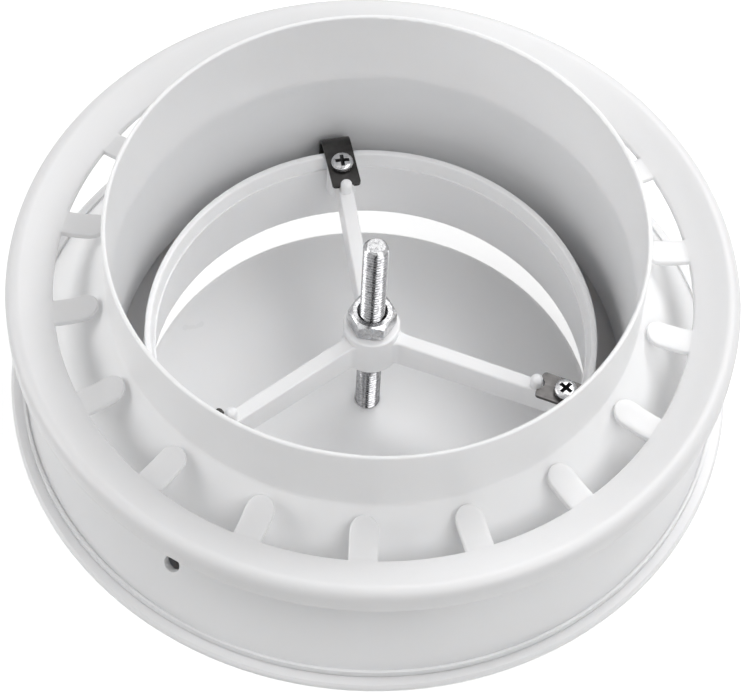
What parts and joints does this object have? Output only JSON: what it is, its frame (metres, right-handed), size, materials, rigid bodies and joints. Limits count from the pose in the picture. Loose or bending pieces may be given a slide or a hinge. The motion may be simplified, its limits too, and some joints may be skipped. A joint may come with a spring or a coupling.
{
  "type": "ventilation disc valve",
  "caption": "Round ventilation disc valve with a duct collar, a fingered clamp ring and a disc on a threaded spindle.",
  "frame": {"origin": "on the valve's axis, at the level of the disc's rim, on which the part stands", "axes": "+Z along the axis towards the duct; +X and +Y across, with the hub's arms at 101.5, 221.5 and 341.5 degrees from +X"},
  "size_m": [0.1704, 0.1704, 0.083],
  "materials": {
    "collar_plastic": "satin white moulded plastic",
    "ring_plastic": "satin white moulded plastic",
    "body_plastic": "satin white moulded plastic",
    "disc_plastic": "satin white moulded plastic",
    "clip_steel": "rolled spring steel",
    "screw_steel": "zinc plated",
    "spindle_steel": "zinc plated thread",
    "nut_steel": "zinc plated",
    "insert_brass": "turned"
  },
  "bodies": {
    "collar": {"mounting_collar": "collar_plastic"},
    "ring": {"clamp_ring": "ring_plastic"},
    "valve": {"valve_body": "body_plastic", "hub_insert": "insert_brass", "spring_clip_back": "clip_steel", "spring_clip_left": "clip_steel", "spring_clip_right": "clip_steel", "clip_screw_back": "screw_steel", "clip_screw_left": "screw_steel", "clip_screw_right": "screw_steel"},
    "nut": {"lock_nut": "nut_steel"},
    "spindle": {"spindle_rod": "spindle_steel"},
    "disc": {"valve_disc": "disc_plastic", "disc_nut": "nut_steel"}
  },
  "joints": [
    {"name": "ring_slide", "type": "slide", "parent": "collar", "child": "ring", "axis": [0, 0, 1], "range_m": [0, 0.02]},
    {"name": "valve_pull", "type": "slide", "parent": "collar", "child": "valve", "axis": [0, 0, -1], "range_m": [0, 0.018]},
    {"name": "nut_turn", "type": "hinge", "parent": "valve", "child": "nut", "pos_m": [0, 0, 0.0466], "axis": [0, 0, 1], "range_deg": [0, 360]},
    {"name": "disc_travel", "type": "slide", "parent": "valve", "child": "spindle", "axis": [0, 0, 1], "range_m": [-0.022, 0.0095]},
    {"name": "disc_turn", "type": "hinge", "parent": "spindle", "child": "disc", "pos_m": [0, 0, 0.005], "axis": [0, 0, 1], "range_deg": [-7900, 3400]}
  ],
  "couplings": [
    {"joint": "disc_travel", "follows": "disc_turn", "m_per_rad": 0.00015915}
  ]
}
